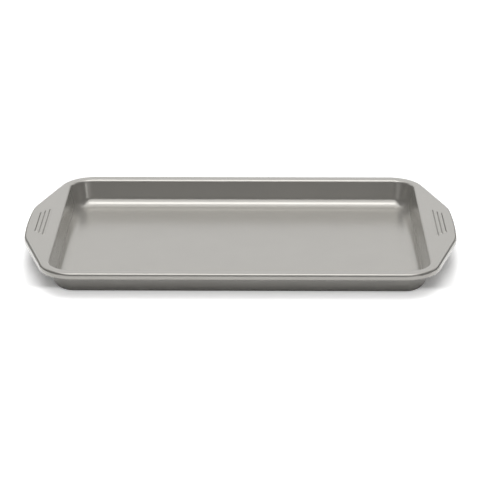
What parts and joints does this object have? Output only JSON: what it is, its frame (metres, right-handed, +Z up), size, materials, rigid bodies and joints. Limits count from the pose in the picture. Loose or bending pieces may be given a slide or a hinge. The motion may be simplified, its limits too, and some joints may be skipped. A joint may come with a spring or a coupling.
{
  "type": "jelly roll pan",
  "caption": "Shallow rectangular baking tray of coated sheet steel with leaning walls, rounded corners, wide ribbed handles and a rim rolled around a wire.",
  "frame": {"origin": "middle of the underside of the floor, on the surface that the pan stands on", "axes": "+X along the pan, through the handles; +Y across it; +Z up, out of the open side"},
  "size_m": [0.4498, 0.276, 0.0293],
  "materials": {
    "coated_steel": "satin baked-on release coating",
    "bright_wire": "drawn wire"
  },
  "bodies": {
    "root": {"pan_shell": "coated_steel", "rim_wire": "bright_wire"}
  },
  "joints": []
}
